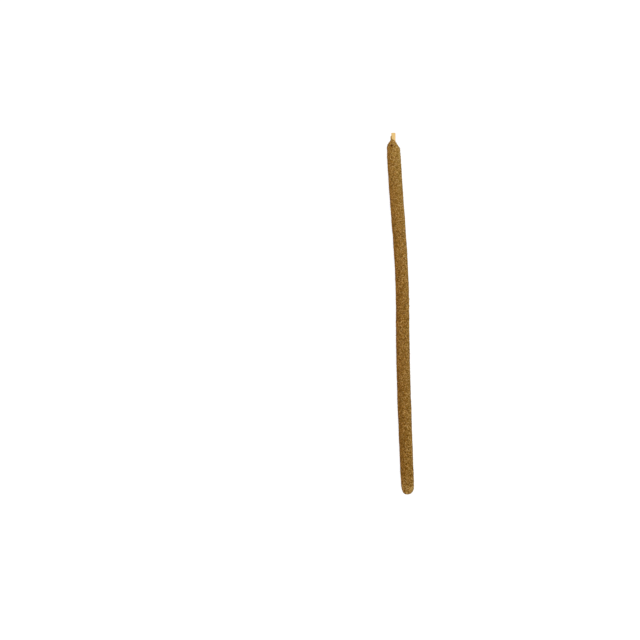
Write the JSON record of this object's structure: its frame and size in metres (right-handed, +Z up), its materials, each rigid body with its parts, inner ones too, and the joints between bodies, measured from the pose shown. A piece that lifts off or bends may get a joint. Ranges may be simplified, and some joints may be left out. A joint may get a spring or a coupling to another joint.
{
  "type": "palo santo incense stick",
  "caption": "Thick hand-rolled palo santo incense stick, slightly bent, with a rounded lower end and a short bare bamboo tip.",
  "frame": {"origin": "on the surface that the stick lies on, under the middle of its bounding box", "axes": "+Y along the stick towards the bare bamboo tip, +X to the right seen from above, +Z up"},
  "size_m": [0.0157, 0.2099, 0.0077],
  "materials": {
    "palo_santo_paste": "dry, matt, granular wood-powder paste",
    "bamboo": "bare split bamboo, satin, fine lengthwise fibres"
  },
  "bodies": {
    "root": {"incense_paste": "palo_santo_paste", "bamboo_core": "bamboo"}
  },
  "joints": []
}
